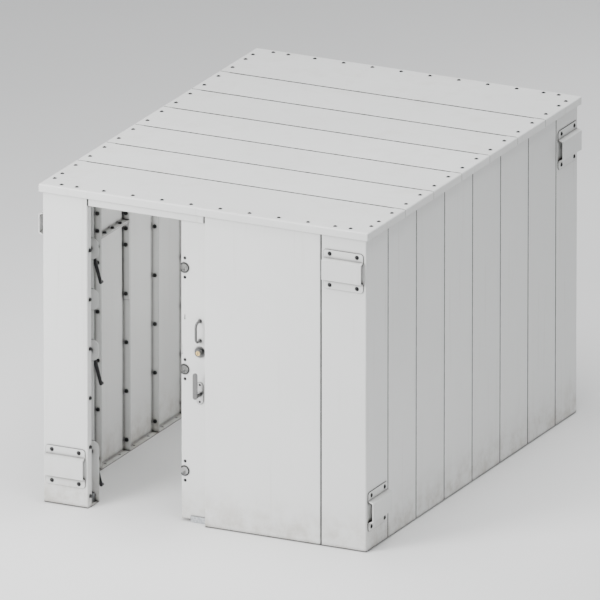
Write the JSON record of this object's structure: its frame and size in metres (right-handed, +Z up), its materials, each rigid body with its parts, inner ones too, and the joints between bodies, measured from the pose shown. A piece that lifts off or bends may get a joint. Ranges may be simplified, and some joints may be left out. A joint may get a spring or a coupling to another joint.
{
  "type": "walk-in panel container",
  "caption": "Walk-in steel container of bolted flanged panels, with a top-hung sliding door, turning jamb latches, a deadbolt, a lever handle and saddle brackets at its corners.",
  "frame": {"origin": "on the floor at the middle of the walls' outline", "axes": "+X to the right of the door wall, +Y from the door wall to the rear wall, +Z up"},
  "size_m": [2.296, 3.096, 2.0815],
  "materials": {
    "powder_coat": "satin powder coat with fine orange peel",
    "galvanised": "zinc plated",
    "stainless": "brushed stainless steel",
    "black_oxide": "black oxide",
    "black_hardware": "semi-gloss black",
    "seal_rubber": "matt",
    "lock_brass": "turned"
  },
  "bodies": {
    "enclosure": {"corner_panel_front_left": "powder_coat", "corner_panel_front_right": "powder_coat", "corner_panel_rear_left": "powder_coat", "corner_panel_rear_right": "powder_coat", "door_header_panel": "powder_coat", "door_track": "galvanised", "floor_guides": "galvanised", "front_cover_panel": "powder_coat", "hex_nuts": "galvanised", "jamb_channel": "powder_coat", "latch_plates": "galvanised", "left_wall_panel_1": "powder_coat", "left_wall_panel_3": "powder_coat", "left_wall_panel_4": "powder_coat", "left_wall_panel_5": "powder_coat", "left_wall_panel_6": "powder_coat", "left_wall_split_panel_high": "powder_coat", "left_wall_split_panel_low": "powder_coat", "lower_saddle_brackets": "powder_coat", "rear_wall_panel_1": "powder_coat", "rear_wall_panel_2": "powder_coat", "rear_wall_panel_3": "powder_coat", "rear_wall_panel_4": "powder_coat", "right_wall_panel_1": "powder_coat", "right_wall_panel_2": "powder_coat", "right_wall_panel_3": "powder_coat", "right_wall_panel_4": "powder_coat", "right_wall_panel_5": "powder_coat", "right_wall_panel_6": "powder_coat", "roof_bolts": "black_oxide", "roof_panel_1": "powder_coat", "roof_panel_2": "powder_coat", "roof_panel_3": "powder_coat", "roof_panel_4": "powder_coat", "roof_panel_5": "powder_coat", "roof_panel_6": "powder_coat", "roof_panel_7": "powder_coat", "saddle_bolts": "black_oxide", "seam_bolts": "galvanised", "seam_seals": "seal_rubber", "splice_strips": "powder_coat", "track_hangers": "galvanised", "upper_saddle_brackets": "powder_coat"},
    "door": {"door_panel": "powder_coat", "strike_rings": "stainless", "door_screws": "black_oxide", "pull_handle": "stainless", "lock_cases": "stainless", "lock_rose": "stainless", "lever_escutcheon": "stainless", "trolley_brackets": "galvanised"},
    "leading_wheels": {"leading_wheel_set": "galvanised"},
    "trailing_wheels": {"trailing_wheel_set": "galvanised"},
    "key_plug": {"key_plug": "lock_brass"},
    "thumbturn": {"thumbturn": "stainless"},
    "deadbolt": {"deadbolt": "stainless"},
    "lever": {"lever_handles": "stainless"},
    "latch_low": {"latch_lever_low": "black_hardware"},
    "latch_middle": {"latch_lever_middle": "black_hardware"},
    "latch_high": {"latch_lever_high": "black_hardware"}
  },
  "joints": [
    {"name": "door_slide", "type": "slide", "parent": "enclosure", "child": "door", "axis": [1, 0, 0], "range_m": [-0.687, 0]},
    {"name": "leading_wheels_roll", "type": "hinge", "parent": "door", "child": "leading_wheels", "pos_m": [-0.037, -1.428, 2.0343], "axis": [0, 1, 0], "range_deg": [-2470, 10]},
    {"name": "trailing_wheels_roll", "type": "hinge", "parent": "door", "child": "trailing_wheels", "pos_m": [0.593, -1.428, 2.0343], "axis": [0, 1, 0], "range_deg": [-2470, 10]},
    {"name": "thumbturn_turn", "type": "hinge", "parent": "door", "child": "thumbturn", "pos_m": [-0.056, -1.428, 1.114], "axis": [0, -1, 0], "range_deg": [0, 90]},
    {"name": "key_turn", "type": "hinge", "parent": "door", "child": "key_plug", "pos_m": [-0.056, -1.428, 1.114], "axis": [0, -1, 0], "range_deg": [0, 91]},
    {"name": "deadbolt_throw", "type": "slide", "parent": "door", "child": "deadbolt", "axis": [-1, 0, 0], "range_m": [0, 0.025]},
    {"name": "lever_turn", "type": "hinge", "parent": "door", "child": "lever", "pos_m": [-0.056, -1.428, 0.841], "axis": [0, 1, 0], "range_deg": [0, 90]},
    {"name": "latch_low_turn", "type": "hinge", "parent": "enclosure", "child": "latch_low", "pos_m": [-0.85, -1.36, 0.328], "axis": [0, -1, 0], "range_deg": [0, 90]},
    {"name": "latch_middle_turn", "type": "hinge", "parent": "enclosure", "child": "latch_middle", "pos_m": [-0.85, -1.36, 0.988], "axis": [0, -1, 0], "range_deg": [0, 90]},
    {"name": "latch_high_turn", "type": "hinge", "parent": "enclosure", "child": "latch_high", "pos_m": [-0.85, -1.36, 1.648], "axis": [0, -1, 0], "range_deg": [0, 90]}
  ],
  "couplings": [
    {"joint": "leading_wheels_roll", "follows": "door_slide", "rad_per_m": 62.5},
    {"joint": "trailing_wheels_roll", "follows": "door_slide", "rad_per_m": 62.5},
    {"joint": "key_turn", "follows": "thumbturn_turn", "ratio": 1},
    {"joint": "deadbolt_throw", "follows": "thumbturn_turn", "m_per_rad": 0.0159}
  ]
}
